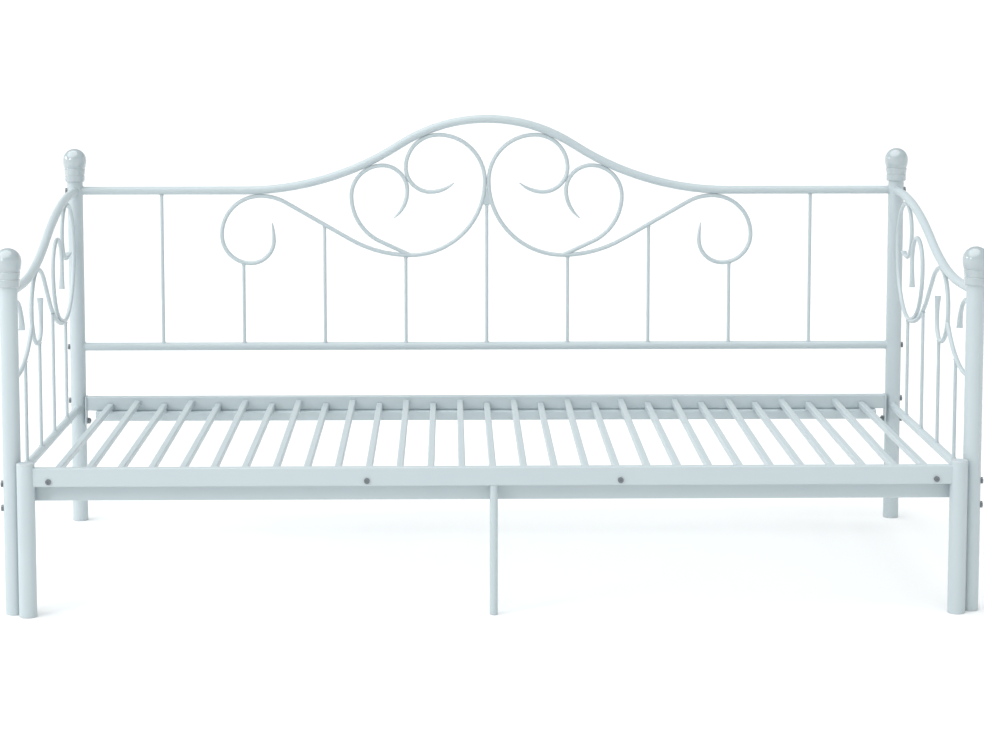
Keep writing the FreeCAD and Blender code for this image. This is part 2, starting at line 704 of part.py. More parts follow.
back_side_s = bar_r - weld / 2
back_crest_s = back_side_s + size("back_loop_low_r") + size("back_crest_run")
back_scroll, back_bottom, back_crest, back_curl = long_scroll(
    "back", back_side_s, back_crest_s, crown_centre, crown_r, foot_centre, foot_r)
arm_scroll, arm_bottom, arm_crest, _ = long_scroll(
    "arm", size("arm_loop_s"), arm_long - size("arm_crest_behind"),
    arm_high_centre, arm_high_r, arm_low_centre, arm_low_r)

# the back panel's hook touches the arch above it and the curl beside it
hook_s = size("back_hook_s")
hook_top_r = size("back_hook_top_r")
hook_top_s = hook_s - hook_top_r
hook_top_z = top_below(foot_centre, foot_r, hook_top_s, hook_top_r)
curl_low_r = size("back_curl_low_r")
curl_centre = (back_curl[0] - curl_low_r, back_curl[1])
aside = hook_top_s - curl_centre[0]
above = hook_top_z - curl_centre[1]
reach = curl_low_r + 2 * bar_r - weld
hook_inner_r = (aside ** 2 + above ** 2 - reach ** 2) / (2 * (reach + above))
back_hook = hook("back", back_bottom, hook_s, hook_top_z - hook_top_r, hook_inner_r)
arm_hook = hook("arm", arm_bottom, size("arm_hook_s"), size("arm_hook_z"), size("arm_hook_inner_r"))

# the arms' end scroll springs from the front scroll, and leans on the front post
under_r = size("arm_under_r")
scroll_centre = (arm_crest[0] + size("arm_outer_r") - under_r, arm_crest[1] - size("arm_outer_r"))
end_start = step(scroll_centre, -size("end_lean"), under_r)
end_s = arm_long - post_r - bar_r + weld
end_sweep_r = size("end_sweep_r")
end_drop = math.degrees(math.asin((end_s - size("end_low_r") - end_start[0]) / end_sweep_r))
end_scroll, _ = trace(end_start, -end_drop, [
    (end_sweep_r, end_drop), (size("end_low_r"), 90), (size("end_upright"), 0),
    (size("end_high_r"), 90), (size("end_inner_r"), 90)])

for side, turn in (("left", 180), ("right", 0)):
    for label, edges in (("back_long_scroll", back_scroll), ("back_hook", back_hook)):
        keep_bent(f"{label}_{side}", sweep_round(edges, bar_r), 0, rear_y, turn)
for side, sign in SIDES:
    for label, edges in (("arm_long_scroll", arm_scroll), ("arm_hook", arm_hook),
                         ("arm_end_scroll", end_scroll)):
        keep_bent(f"{label}_{side}", sweep_round(edges, bar_r), sign * post_x, rear_y, -90)


# ---------------------------------------------------------------- upright rods
def lowest_hit(paths, s):
    """Height at which an upright line at s first meets one of the paths."""
    line = Part.LineSegment(Vector(s, 0, 0), Vector(s, 0, crown_z)).toShape()
    heights = []
    for edges in paths:
        for edge in to_wire(edges).Edges:
            distance, pairs, _ = edge.distToShape(line)
            if distance < TOUCH:
                heights += [pair[0].z for pair in pairs]
    return min(heights)


def keep_rods(label, bottom_z, places, x, y, turn):
    """Round rods from a rail up to the bars that they carry, as separate solids."""
    rods = []
    for number, (s, top_z) in enumerate(places, start=1):
        rod = doc.addObject("Part::Cylinder", f"{label}_rod_{number}")
        rod.setExpression("Radius", "dims.rod_od / 2")
        rod.setExpression("Placement.Base.z", f"{bottom_z} + dims.rail_od / 2 - dims.weld_sink")
        rod.Height = top_z - measure(f"{bottom_z} + dims.rail_od / 2 - dims.weld_sink")
        rod.Placement.Base.x = s
        rods.append(rod)
    group = doc.addObject("Part::Compound", label)
    group.Links = rods
    group.Placement = Placement(Vector(x, y, 0), Rotation(Vector(0, 0, 1), turn))
    keep(group, label)


# a gusset fills the V between the two loops, and the middle rod ends under it
gusset_half = size("gusset_wide") / 2
gusset_tip_half = size("gusset_tip") / 2
gusset_thick = size("gusset_thick")
loop_r = size("back_loop_low_r")
loop_centre = (back_side_s + loop_r, back_bottom[1] + loop_r)
gusset_edge_r = loop_r + bar_r - weld


def gusset_edge(s):
    """A point of the gusset's right edge, inside the loop bar."""
    drop = math.sqrt(gusset_edge_r ** 2 - (loop_centre[0] - s) ** 2)
    return Vector(s, -gusset_thick / 2, loop_centre[1] - drop)


gusset_low = gusset_edge(gusset_half)
gusset_middle = gusset_edge((gusset_half + gusset_tip_half) / 2)
gusset_high = gusset_edge(gusset_tip_half)
right_edge = Part.Arc(gusset_low, gusset_middle, gusset_high)


def mirrored(point):
    return Vector(-point.x, point.y, point.z)


left_edge = Part.Arc(mirrored(gusset_high), mirrored(gusset_middle), mirrored(gusset_low))
outline = [Part.LineSegment(mirrored(gusset_low), gusset_low), right_edge,
           Part.LineSegment(gusset_high, mirrored(gusset_high)), left_edge]
gusset = Part.Face(Part.Wire([curve.toShape() for curve in outline]))
keep_bent("back_gusset", gusset.extrude(Vector(0, gusset_thick, 0)), 0, rear_y, 0)

outer_reach = back_crest[0] + size("back_outer_r")
back_places = []
for index in range(-(BACK_RODS // 2), BACK_RODS // 2 + 1):
    s = index * size("back_rod_pitch")
    if index == 0:
        top_z = gusset_low.z
    elif abs(s) < outer_reach:
        top_z = lowest_hit([back_scroll, back_hook], abs(s)) - bar_r + 2 * weld
    else:
        top_z = back_rail_z - rail_r + weld
    back_places.append((s, top_z))
keep_rods("back_rods", "dims.back_low_z", back_places, 0, rear_y, 0)

arm_places = []
for index in range(1, ARM_RODS + 1):
    s = index * arm_long / (ARM_RODS + 1)
    arm_places.append((s, lowest_hit([arm_scroll, arm_hook, end_scroll], s) - bar_r + 2 * weld))
for side, sign in SIDES:
    keep_rods(f"arm_rods_{side}", "dims.arm_low_z", arm_places, sign * post_x, rear_y, -90)


# ---------------------------------------------------------------- straight tubes
def make_tube(label, radius, wall, role, length, x=None, y=None, z=None, cope=None):
    """A round tube, centred along one axis and coped at both ends to a post."""
    body = new_body(label)
    ring = new_sketch(body, role, label + "_ring")
    draw_circle(ring, radius)
    draw_circle(ring, f"{radius} - {wall}")
    pad(body, ring, length, both_ways=True)
    if cope:
        notch = new_sketch(body, "XY_Plane", label + "_cope")
        for sign in (-1, 1):
            end = f"{sign} * {length} / 2"
            if cope == "x":
                draw_circle(notch, "dims.post_od / 2", x=end)
            else:
                draw_circle(notch, "dims.post_od / 2", y=end)
        pocket_through(body, notch)
    return keep(place(body, x=x, y=y, z=z), label)


make_tube("back_low_rail", "dims.rail_od / 2", "dims.rail_wall", "YZ_Plane", "dims.post_spacing_x",
          y=REAR_Y, z="dims.back_low_z", cope="x")
for side, sign in SIDES:
    make_tube(f"arm_low_rail_{side}", "dims.rail_od / 2", "dims.rail_wall", "XZ_Plane",
              "dims.post_spacing_y", x=f"{sign} * {POST_X}", y=CENTRE, z="dims.arm_low_z", cope="y")


# ---------------------------------------------------------------- seat rails and plates
def make_box_tube(label, deep, tall, length, y, z):
    """A square-cornered tube along X."""
    body = new_body(label)
    outline = new_sketch(body, "YZ_Plane", label + "_outline")
    draw_rounded_box(outline, deep, tall, "dims.seat_rail_round")
    wall = "dims.seat_rail_wall"
    draw_rounded_box(outline, f"({deep} - 2 * {wall})", f"({tall} - 2 * {wall})",
                     f"(dims.seat_rail_round - {wall})")
    pad(body, outline, length, both_ways=True)
    return keep(place(body, y=y, z=z), label)


make_box_tube("rear_seat_rail", "dims.seat_rail_deep", "dims.rear_rail_tall", SEAT_RAIL_LONG,
              REAR_RAIL_Y, f"{REAR_RAIL_TOP} - dims.rear_rail_tall / 2")
make_box_tube("rear_ledge", "dims.ledge_deep", "dims.ledge_tall",
              f"({SEAT_RAIL_LONG} - 2 * dims.ledge_cutback)",
              f"{REAR_RAIL_Y} - (dims.ledge_deep - dims.seat_rail_deep) / 2",
              "dims.ledge_top_z - dims.ledge_tall / 2")
make_box_tube("front_seat_rail", "dims.seat_rail_deep", "dims.seat_rail_tall", SEAT_RAIL_LONG,
              FRONT_RAIL_Y, "dims.seat_top_z - dims.seat_rail_tall / 2")


def make_plate(label, x, y, top, bolt_z, bolt_y, nutted):
    """An end plate of a seat rail.  The upper hole is tapped, and the lower one too
    where no nut goes behind it."""
    body = new_body(label)
    outline = new_sketch(body, "YZ_Plane", label + "_outline")
    draw_box(outline, "dims.plate_wide", "dims.plate_tall")
    pad(body, outline, "dims.plate_thick", both_ways=True)
    drill = new_sketch(body, "YZ_Plane", label + "_drill")
    upper = f"({bolt_z} - ({top} - dims.plate_tall / 2))"
    tapped = "dims.bolt_od / 2 + dims.thread_gap"
    draw_circle(drill, tapped, x=bolt_y, y=upper)
    draw_circle(drill, "dims.bolt_hole / 2" if nutted else tapped, x=bolt_y, y=f"{upper} - dims.bolt_pitch")
    pocket_through(body, drill)
    keep(place(body, x=x, y=y, z=f"{top} - dims.plate_tall / 2"), label)


for side, sign in SIDES:
    at_x = f"{sign} * ({PLATE_FACE} - dims.plate_thick / 2)"
    make_plate(f"rear_plate_{side}", at_x, REAR_RAIL_Y, REAR_RAIL_TOP, REAR_BOLT_TOP,
               "dims.rail_setback", nutted=True)
    make_plate(f"front_plate_{side}", at_x, FRONT_RAIL_Y, FRONT_PLATE_TOP, FRONT_BOLT_TOP,
               "-dims.rail_setback", nutted=False)


# ---------------------------------------------------------------- slats
def make_slats(label, count, length, y, z):
    """A comb of equal slats, centred on X."""
    body = new_body(label)
    outline = new_sketch(body, "XZ_Plane", label + "_outline")
    draw_rounded_box(outline, "dims.slat_wide", "dims.slat_tall", "dims.slat_round")
    wall = "dims.slat_wall"
    draw_rounded_box(outline, f"(dims.slat_wide - 2 * {wall})", f"(dims.slat_tall - 2 * {wall})",
                     f"(dims.slat_round - {wall})")
    slat = pad(body, outline, length, both_ways=True)
    repeat_along_x(body, slat, f"{count - 1} * dims.slat_pitch", count)
    return keep(place(body, x=f"-{count - 1} * dims.slat_pitch / 2", y=y, z=z), label)


FIXED_FRONT = f"({FRONT_Y} + dims.slat_overhang)"
FIXED_LONG = f"({REAR_RAIL_FACE} - {FIXED_FRONT})"
fixed_slats = make_slats("fixed_slats", FIXED_SLATS, FIXED_LONG, f"({REAR_RAIL_FACE} + {FIXED_FRONT}) / 2",
                         "dims.seat_top_z + (dims.slat_tall + dims.slat_fall) / 2")
fixed_slats.Placement.Rotation = Rotation(Vector(1, 0, 0), 1)
fixed_slats.setExpression("Placement.Rotation.Angle", f"atan(dims.slat_fall / {FIXED_LONG})")

make_slats("sliding_slats", SLIDING_SLATS, f"({SLAT_END} - {STRIP_BACK})",
           f"({SLAT_END} + {STRIP_BACK}) / 2", SLAT_Z)


def make_glides(label):
    """Plastic end caps of the sliding slats.  Each has a foot that runs just above the
    ledge and stops behind the front seat rail when the bed is open."""
    drop = "(dims.seat_top_z - dims.ledge_top_z)"
    body = new_body(label)
    flange = new_sketch(body, "XZ_Plane", label + "_flange")
    draw_box(flange, "dims.slat_wide", f"(dims.slat_tall + {drop})", f"-{drop} / 2")
    features = [pad(body, flange, "dims.glide_flange")]
    foot = new_sketch(body, "XZ_Plane", label + "_foot")
    draw_box(foot, "dims.slat_wide", drop, f"-(dims.slat_tall + {drop}) / 2")
    features.append(pad(body, foot, "dims.glide_flange + dims.glide_foot"))
    spigot = new_sketch(body, "XZ_Plane", label + "_spigot")
    inside = "2 * (dims.slat_wall + dims.plug_gap)"
    draw_rounded_box(spigot, f"(dims.slat_wide - {inside})", f"(dims.slat_tall - {inside})",
                     "(dims.slat_round - dims.slat_wall)")
    features.append(pad(body, spigot, "dims.glide_flange + dims.plug_depth"))
    pattern = repeat_along_x(body, features[0], f"{SLIDING_SLATS - 1} * dims.slat_pitch", SLIDING_SLATS)
    pattern.Originals = features
    keep(place(body, x=f"-{SLIDING_SLATS - 1} * dims.slat_pitch / 2",
               y=f"{SLAT_END} + dims.glide_flange", z=SLAT_Z), label)


make_glides("sliding_slat_glides")


# ---------------------------------------------------------------- pull-out frame
def drill_for_screws(body, label, z):
    """Holes along Y for the screws of the pull-out rail."""
    drill = new_sketch(body, "XZ_Plane", label + "_drill")
    for place_number in SCREWED_SLATS:
        draw_circle(drill, "dims.screw_hole / 2", x=f"{place_number} * dims.slat_pitch", y=z)
    pocket_through(body, drill)


LEG_TOP = "(dims.pullout_rail_top + dims.leg_above_rail)"
for side, sign in SIDES:
    at_x = f"{sign} * {LEG_X}"
    make_post(f"pullout_leg_{side}", LEG_TOP, (), at_x, LEG_Y)
    make_cap(f"pullout_foot_{side}", "dims.post_od", "dims.post_wall", at_x, LEG_Y,
             "dims.foot_thick", upwards=True)
    make_cap(f"pullout_leg_cap_{side}", "dims.post_od", "dims.post_wall", at_x, LEG_Y,
             LEG_TOP, upwards=False)

RAIL_BOTTOM = "(dims.pullout_rail_top - dims.pullout_rail_tall)"
make_tube("pullout_centre_leg", "dims.centre_leg_od / 2", "dims.centre_leg_wall", "XY_Plane",
          f"({RAIL_BOTTOM} - dims.foot_thick)", y=LEG_Y, z=f"({RAIL_BOTTOM} + dims.foot_thick) / 2")
make_cap("pullout_centre_foot", "dims.centre_leg_od", "dims.centre_leg_wall", None, LEG_Y,
         "dims.foot_thick", upwards=True)

rail = make_box_tube("pullout_rail", "dims.pullout_rail_deep", "dims.pullout_rail_tall",
                     f"(2 * {LEG_X})", LEG_Y, "dims.pullout_rail_top - dims.pullout_rail_tall / 2")
notch = new_sketch(rail, "XY_Plane", "pullout_rail_cope")
for side, sign in SIDES:
    draw_circle(notch, "dims.post_od / 2", x=f"{sign} * {LEG_X}")
pocket_through(rail, notch)
drill_for_screws(rail, "pullout_rail", f"({SLAT_Z} - (dims.pullout_rail_top - dims.pullout_rail_tall / 2))")

strip = new_body("slat_strip")
outline = new_sketch(strip, "YZ_Plane", "slat_strip_outline")
draw_box(outline, "dims.strip_thick", "dims.strip_tall")
pad(strip, outline, f"2 * ({SLIDING_SLATS // 2} * dims.slat_pitch + dims.strip_margin)", both_ways=True)
drill_for_screws(strip, "slat_strip", None)
keep(place(strip, y=f"({STRIP_FRONT} + {STRIP_BACK}) / 2", z=SLAT_Z), "slat_strip")


# ---------------------------------------------------------------- fasteners
TO_RIGHT = Rotation(Vector(0, 1, 0), 90)
TO_LEFT = Rotation(Vector(0, 1, 0), -90)
TO_FRONT = Rotation(Vector(1, 0, 0), 90)
OUTWARDS = (("left", -1, TO_LEFT), ("right", 1, TO_RIGHT))


def make_bolt(name, kind, grip):
    """A bolt along Z: a round head with a hexagon socket above zero, its shank below."""
    shank = make_cylinder(name + "_shank", f"dims.{kind}_od / 2", grip, f"-({grip})")
    head = make_cylinder(name + "_head", f"dims.{kind}_head_od / 2", f"dims.{kind}_head_tall")
    key = doc.addObject("Part::Prism", name + "_key")
    key.Polygon = 6
    bind(key, Circumradius=f"dims.{kind}_key / sqrt(3)", Height=f"dims.{kind}_head_tall")
    place(key, z=f"dims.{kind}_key_floor")
    return cut(name, fuse(name + "_solid", [shank, head]), key)


def make_ring(name, radius, bore, length):
    """A cylinder below zero with a bore through it."""
    body = make_cylinder(name + "_body", radius, length, f"-({length})")
    hole = make_cylinder(name + "_bore", bore, length, f"-({length})")
    return cut(name, body, hole)


def keep_copies(label, copies):
    """One node made of equal pieces: (piece, rotation, x, y, z) for each."""
    links = []
    for number, (piece, turn, x, y, z) in enumerate(copies, start=1):
        link = doc.addObject("App::Link", f"{label}_{number}")
        link.LinkedObject = piece
        link.Placement = Placement(Vector(), turn)
        links.append(place(link, x=x, y=y, z=z))
    group = doc.addObject("Part::Compound", label)
    group.Links = links
    keep(group, label)


HEAD_X = f"({POST_X} + dims.post_od / 2)"
plate_bolt = make_bolt("plate_bolt", "bolt", "dims.post_od + dims.plate_thick - dims.bolt_end_gap")
nut_bolt = make_bolt("nut_bolt", "bolt", "dims.post_od + dims.plate_thick + dims.nut_tall + dims.bolt_beyond")
panel_bolt = make_bolt("panel_bolt", "bolt", "dims.post_od + dims.insert_long")
screw_grip = "dims.pullout_rail_deep + dims.strip_thick + dims.screw_grip"
rail_screw = make_bolt("rail_screw", "screw", screw_grip)
rail_insert = make_ring("rail_insert", "dims.rail_od / 2 - dims.rail_wall - dims.plug_gap",
                        "dims.bolt_od / 2 + dims.thread_gap", "dims.insert_long")
slat_bore = "(min(dims.slat_wide; dims.slat_tall) / 2 - dims.slat_wall)"
slat_insert = make_ring("slat_insert", f"{slat_bore} - dims.plug_gap",
                        "dims.screw_od / 2 + dims.thread_gap", "dims.insert_long")
nut_body = doc.addObject("Part::Prism", "nut_body")
nut_body.Polygon = 6
bind(nut_body, Circumradius="dims.nut_flats / sqrt(3)", Height="dims.nut_tall")
nut_bore = make_cylinder("nut_bore", "dims.bolt_od / 2 + dims.thread_gap", "dims.nut_tall")
hex_nut = cut("hex_nut", nut_body, nut_bore)

panel_bolts = []
inserts = []
seat_bolts = []
nuts = []
for side, sign, turn in OUTWARDS:
    head_x = f"{sign} * {HEAD_X}"
    for z in ("dims.back_rail_z", "dims.back_low_z"):
        panel_bolts.append((panel_bolt, turn, head_x, REAR_Y, z))
        inserts.append((rail_insert, turn, f"{sign} * ({PLATE_FACE} - dims.plug_gap)", REAR_Y, z))
    seat_bolts.append((plate_bolt, turn, head_x, REAR_Y, REAR_BOLT_TOP))
    seat_bolts.append((nut_bolt, turn, head_x, REAR_Y, f"{REAR_BOLT_TOP} - dims.bolt_pitch"))
    seat_bolts.append((plate_bolt, turn, head_x, FRONT_Y, FRONT_BOLT_TOP))
    seat_bolts.append((plate_bolt, turn, head_x, FRONT_Y, f"{FRONT_BOLT_TOP} - dims.bolt_pitch"))
    nut_x = f"{sign} * ({PLATE_FACE} - dims.plate_thick - dims.nut_tall)"
    nuts.append((hex_nut, turn, nut_x, REAR_Y, f"{REAR_BOLT_TOP} - dims.bolt_pitch"))
keep_copies("back_panel_bolts", panel_bolts)
keep_copies("back_rail_inserts", inserts)
keep_copies("seat_rail_bolts", seat_bolts)
keep_copies("seat_rail_nuts", nuts)

screws = []
slat_inserts = []
for place_number in SCREWED_SLATS:
    screw_x = f"{place_number} * dims.slat_pitch"
    screws.append((rail_screw, TO_FRONT, screw_x, f"{LEG_Y} - dims.pullout_rail_deep / 2", SLAT_Z))
    slat_inserts.append((slat_insert, TO_FRONT, screw_x, f"{STRIP_BACK} + dims.plug_gap", SLAT_Z))
keep_copies("pullout_screws", screws)
keep_copies("slat_inserts", slat_inserts)


# ---------------------------------------------------------------- checks and STEP files
doc.recompute()
for thing in doc.Objects:
    if set(thing.State) & {"Invalid", "Error"}:
        raise ValueError(f"{thing.Name} did not build: {thing.State}")
os.makedirs("parts", exist_ok=True)
for node in NODES:
    if node.Shape.isNull() or not node.Shape.isValid():
        raise ValueError(f"{node.Label} has no sound shape")
    node.Shape.exportStep(f"parts/{node.Label}.step")
print(len(NODES), "nodes written")
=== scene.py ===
import json
import math

import bmesh
import bpy
from mathutils import Matrix, Vector


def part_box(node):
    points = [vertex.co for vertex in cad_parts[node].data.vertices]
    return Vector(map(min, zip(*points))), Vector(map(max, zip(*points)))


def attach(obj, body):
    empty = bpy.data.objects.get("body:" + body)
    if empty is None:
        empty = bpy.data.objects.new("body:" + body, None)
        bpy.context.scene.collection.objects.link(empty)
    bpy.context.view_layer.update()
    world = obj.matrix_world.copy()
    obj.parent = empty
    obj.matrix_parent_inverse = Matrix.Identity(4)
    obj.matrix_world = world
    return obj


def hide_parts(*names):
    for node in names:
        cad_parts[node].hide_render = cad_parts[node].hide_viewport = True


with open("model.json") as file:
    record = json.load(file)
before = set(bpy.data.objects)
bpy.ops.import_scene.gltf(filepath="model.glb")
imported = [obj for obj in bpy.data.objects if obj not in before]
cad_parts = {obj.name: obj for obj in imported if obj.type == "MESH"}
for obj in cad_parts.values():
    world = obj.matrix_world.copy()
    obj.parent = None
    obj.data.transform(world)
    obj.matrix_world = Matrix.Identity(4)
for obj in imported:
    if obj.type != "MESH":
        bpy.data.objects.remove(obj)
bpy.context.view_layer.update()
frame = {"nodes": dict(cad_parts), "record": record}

# White steel daybed: powder-coated tube and bar, moulded finials and caps, zinc bolts.
# Lengths in metres, angles in degrees.  Z is up, Y runs from the open front to the back.

nodes = frame["nodes"]


def middle(node):
    low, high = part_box(node)
    return (low + high) / 2


def top_centre(node):
    low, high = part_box(node)
    return Vector(((low.x + high.x) / 2, (low.y + high.y) / 2, high.z))


post_x, rear_y = middle("rear_post_right").xy
front_y = middle("front_post_right").y
# radii of the round tubes and bars
POST_R = 0.019
RAIL_R = 0.010
BAR_R = 0.005
ROD_R = 0.004


# ---------------------------------------------------------------- node materials
def linear(code):
    """An sRGB hex colour as Blender's linear colour."""
    values = [int(code[i:i + 2], 16) / 255 for i in (1, 3, 5)]
    return [v / 12.92 if v <= 0.04045 else ((v + 0.055) / 1.055) ** 2.4 for v in values] + [1.0]


def add_node(tree, kind, settings=None, links=None):
    """Adds one node, with its settings or socket values, and the outputs that feed it."""
    node = tree.nodes.new(kind)
    for name, value in (settings or {}).items():
        if isinstance(name, str) and hasattr(node, name):
            setattr(node, name, value)
        else:
            node.inputs[name].default_value = value
    for name, output in (links or {}).items():
        tree.links.new(output, node.inputs[name])
    return node


def new_material(name, **constants):
    """A node material whose Principled shader has these constant values."""
    material = bpy.data.materials.new(name)
    material.use_nodes = True
    tree = material.node_tree
    shader = tree.nodes["Principled BSDF"]
    for socket, value in constants.items():
        shader.inputs[socket.replace("_", " ")].default_value = value
    place = add_node(tree, "ShaderNodeTexCoord").outputs["Object"]
    return material, tree, shader, place


def powder_coat(name, light, dark):
    """Polyester powder coat on steel, baked to a satin skin: even and opaque, with a
    shallow orange peel that breaks up the edge of a highlight."""
    material, tree, shader, place = new_material(name, IOR=1.5)
    # film thickness drifts slowly along a tube, over about 120 mm
    drift = add_node(tree, "ShaderNodeTexNoise", {"Scale": 1 / 0.120, "Detail": 2.0},
                     {"Vector": place})
    tone = add_node(tree, "ShaderNodeMix",
                    {"data_type": "RGBA", 6: linear(dark), 7: linear(light)},
                    {0: drift.outputs["Fac"]})
    tree.links.new(tone.outputs[2], shader.inputs["Base Color"])
    # orange peel cells of 1.5 mm, drawn at 4 mm because finer ones don't show
    peel = add_node(tree, "ShaderNodeTexNoise", {"Scale": 1 / 0.004, "Detail": 1.0},
                    {"Vector": place})
    gloss = add_node(tree, "ShaderNodeMapRange", {"To Min": 0.34, "To Max": 0.44},
                     {"Value": peel.outputs["Fac"]})
    tree.links.new(gloss.outputs["Result"], shader.inputs["Roughness"])
    bump = add_node(tree, "ShaderNodeBump", {"Strength": 0.12, "Distance": 0.0003},
                    {"Height": peel.outputs["Fac"]})
    tree.links.new(bump.outputs["Normal"], shader.inputs["Normal"])
    return material


def moulded_plastic(name, light, dark, roughness, skin=0.0):
    """Injection-moulded polypropylene: a little translucent, so its shades stay soft, with
    a faint swirl of flow and a smooth skin whose gloss varies slightly.  A polished mould
    leaves a clear outer skin that holds small sharp highlights."""
    material, tree, shader, place = new_material(name, IOR=1.49, Subsurface_Weight=0.05,
                                                 Subsurface_Scale=0.003, Coat_Weight=skin,
                                                 Coat_Roughness=0.04)
    # flow lines about 18 mm apart
    flow = add_node(tree, "ShaderNodeTexNoise",
                    {"Scale": 1 / 0.018, "Detail": 2.0, "Distortion": 0.6}, {"Vector": place})
    tone = add_node(tree, "ShaderNodeMix",
                    {"data_type": "RGBA", 6: linear(dark), 7: linear(light)},
                    {0: flow.outputs["Fac"]})
    tree.links.new(tone.outputs[2], shader.inputs["Base Color"])
    gloss = add_node(tree, "ShaderNodeMapRange",
                     {"To Min": roughness, "To Max": roughness * 1.5},
                     {"Value": flow.outputs["Fac"]})
    tree.links.new(gloss.outputs["Result"], shader.inputs["Roughness"])
    bump = add_node(tree, "ShaderNodeBump", {"Strength": 0.08, "Distance": 0.0004},
                    {"Height": flow.outputs["Fac"]})
    tree.links.new(bump.outputs["Normal"], shader.inputs["Normal"])
    return material


def zinc_with_painted_reflection(name):
    """Bright zinc on turned steel: a grey metal with small matt and bright patches. Its colour is
    painted darker than bright zinc, as a painted dark reflection.
    """
    material, tree, shader, place = new_material(name, Metallic=1.0)
    # plating grain of 0.3 mm, drawn at 1.2 mm so that it shows
    grain = add_node(tree, "ShaderNodeTexNoise", {"Scale": 1 / 0.0012, "Detail": 3.0},
                     {"Vector": place})
    # painted reflection: both tones are darker than bright zinc and stand in for dark surroundings
    # mirrored in the heads; the grain only mixes them in small patches
    tone = add_node(tree, "ShaderNodeMix",
                    {"data_type": "RGBA", 6: linear("#565b5f"), 7: linear("#949a9d")},
                    {0: grain.outputs["Fac"]})
    tree.links.new(tone.outputs[2], shader.inputs["Base Color"])
    gloss = add_node(tree, "ShaderNodeMapRange", {"To Min": 0.28, "To Max": 0.46},
                     {"Value": grain.outputs["Fac"]})
    tree.links.new(gloss.outputs["Result"], shader.inputs["Roughness"])
    return material


coat = powder_coat("satin_powder_coat", "#bac5c8", "#b5c0c4")
finial_plastic = moulded_plastic("glossy_finial_plastic", "#adb8bb", "#a6b1b5", 0.05, skin=1.0)
cap_plastic = moulded_plastic("matt_cap_plastic", "#bbc4c7", "#b4bdc1", 0.36)
zinc = zinc_with_painted_reflection("zinc_with_painted_dark_reflection")
FINISHES = {"white_powder_coat": coat, "glossy_cap": finial_plastic,
            "plastic_cap": cap_plastic, "zinc_steel": zinc}
for entry in frame["record"]["subparts"]:
    mesh = nodes[entry["node"]].data
    mesh.materials.clear()
    mesh.materials.append(FINISHES[entry["material_slot"]])


# ---------------------------------------------------------------- mesh helpers
SAME_POINT = 0.00001
SHARP_EDGE = math.radians(40)
# how finely round shapes are cut: degrees of a bend to a step, and sides of a round
OUTLINE_STEP = 6
BAR_STEP = 4
LATHE_SIDES = 56
BAR_SIDES = 18
BEAD_SIDES = 8
BEAD_STEPS = 24


def finish_piece(bm, name, slot, body, stands_for=()):
    """Turns a bmesh into a smooth piece that rides on a body."""
    bmesh.ops.remove_doubles(bm, verts=bm.verts, dist=SAME_POINT)
    bmesh.ops.recalc_face_normals(bm, faces=bm.faces)
    mesh = bpy.data.meshes.new(name)
    bm.to_mesh(mesh)
    bm.free()
    mesh.materials.append(FINISHES[slot])
    mesh.shade_smooth()
    mesh.set_sharp_from_angle(angle=SHARP_EDGE)
    piece = bpy.data.objects.new(name, mesh)
    bpy.context.scene.collection.objects.link(piece)
    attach(piece, body)
    if stands_for:
        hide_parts(*stands_for)


def add_mesh(bm, one):
    """Adds a finished bmesh to another one."""
    mesh = bpy.data.meshes.new("part")
    one.to_mesh(mesh)
    one.free()
    bm.from_mesh(mesh)
    bpy.data.meshes.remove(mesh)


def along(heading):
    """A unit vector in the XZ plane, at an angle above X."""
    return Vector((math.cos(math.radians(heading)), 0, math.sin(math.radians(heading))))


def draw_outline(bm, moves):
    """A chain of edges that starts at the origin along X, in the XZ plane: a move is a straight
    run (length, 0), a bend (radius, turn) or a sharp corner (None, turn)."""
    vert = bm.verts.new((0, 0, 0))
    heading = 0
    for length, turn in moves:
        direction = along(heading)
        if length is None:
            heading += turn
            continue
        if turn == 0:
            grown = bmesh.ops.extrude_vert_indiv(bm, verts=[vert])
            vert = grown["verts"][0]
            vert.co += direction * length
            continue
        side = Vector((-direction.z, 0, direction.x)) * (1 if turn > 0 else -1)
        swung = bmesh.ops.spin(bm, geom=[vert], cent=vert.co + side * length, axis=(0, -1, 0),
                               angle=math.radians(turn),
                               steps=max(3, round(abs(turn) / OUTLINE_STEP)))
        vert = next(item for item in swung["geom_last"] if isinstance(item, bmesh.types.BMVert))
        heading += turn


def turned_piece(name, slot, body, place, moves, node):
    """A lathe-turned solid from one outline, standing at a place for a CAD node."""
    bm = bmesh.new()
    draw_outline(bm, moves)
    bmesh.ops.spin(bm, geom=bm.verts[:] + bm.edges[:], cent=(0, 0, 0), axis=(0, 0, 1),
                   angle=math.tau, steps=LATHE_SIDES, use_merge=True)
    bmesh.ops.translate(bm, verts=bm.verts, vec=place)
    finish_piece(bm, name, slot, body, (node,))


# ---------------------------------------------------------------- forged scroll bars
# length of the hammered stretch, and the thickness and width of its end as shares of the bar's
TIP_LONG = 0.055
TIP_THIN = 0.28
TIP_WIDE = 1.5


def hammer_tip(verts, centre, radius, tip):
    """Hammers the last stretch of a bent bar to a wedge: thin in the plane of its bend, and
    spread to both sides of it."""
    for vert in verts:
        out = Vector((vert.co.x - centre.x, 0, vert.co.z - centre.z))
        from_tip = radius * out.angle(tip - centre)
        if from_tip < TIP_LONG:
            ease = from_tip / TIP_LONG
            ease *= 2 - ease
            thin = TIP_THIN + (1 - TIP_THIN) * ease
            wide = TIP_WIDE + (1 - TIP_WIDE) * ease
            grown = radius + (out.length - radius) * thin
            vert.co = centre + out.normalized() * grown + Vector((0, vert.co.y * wide, 0))


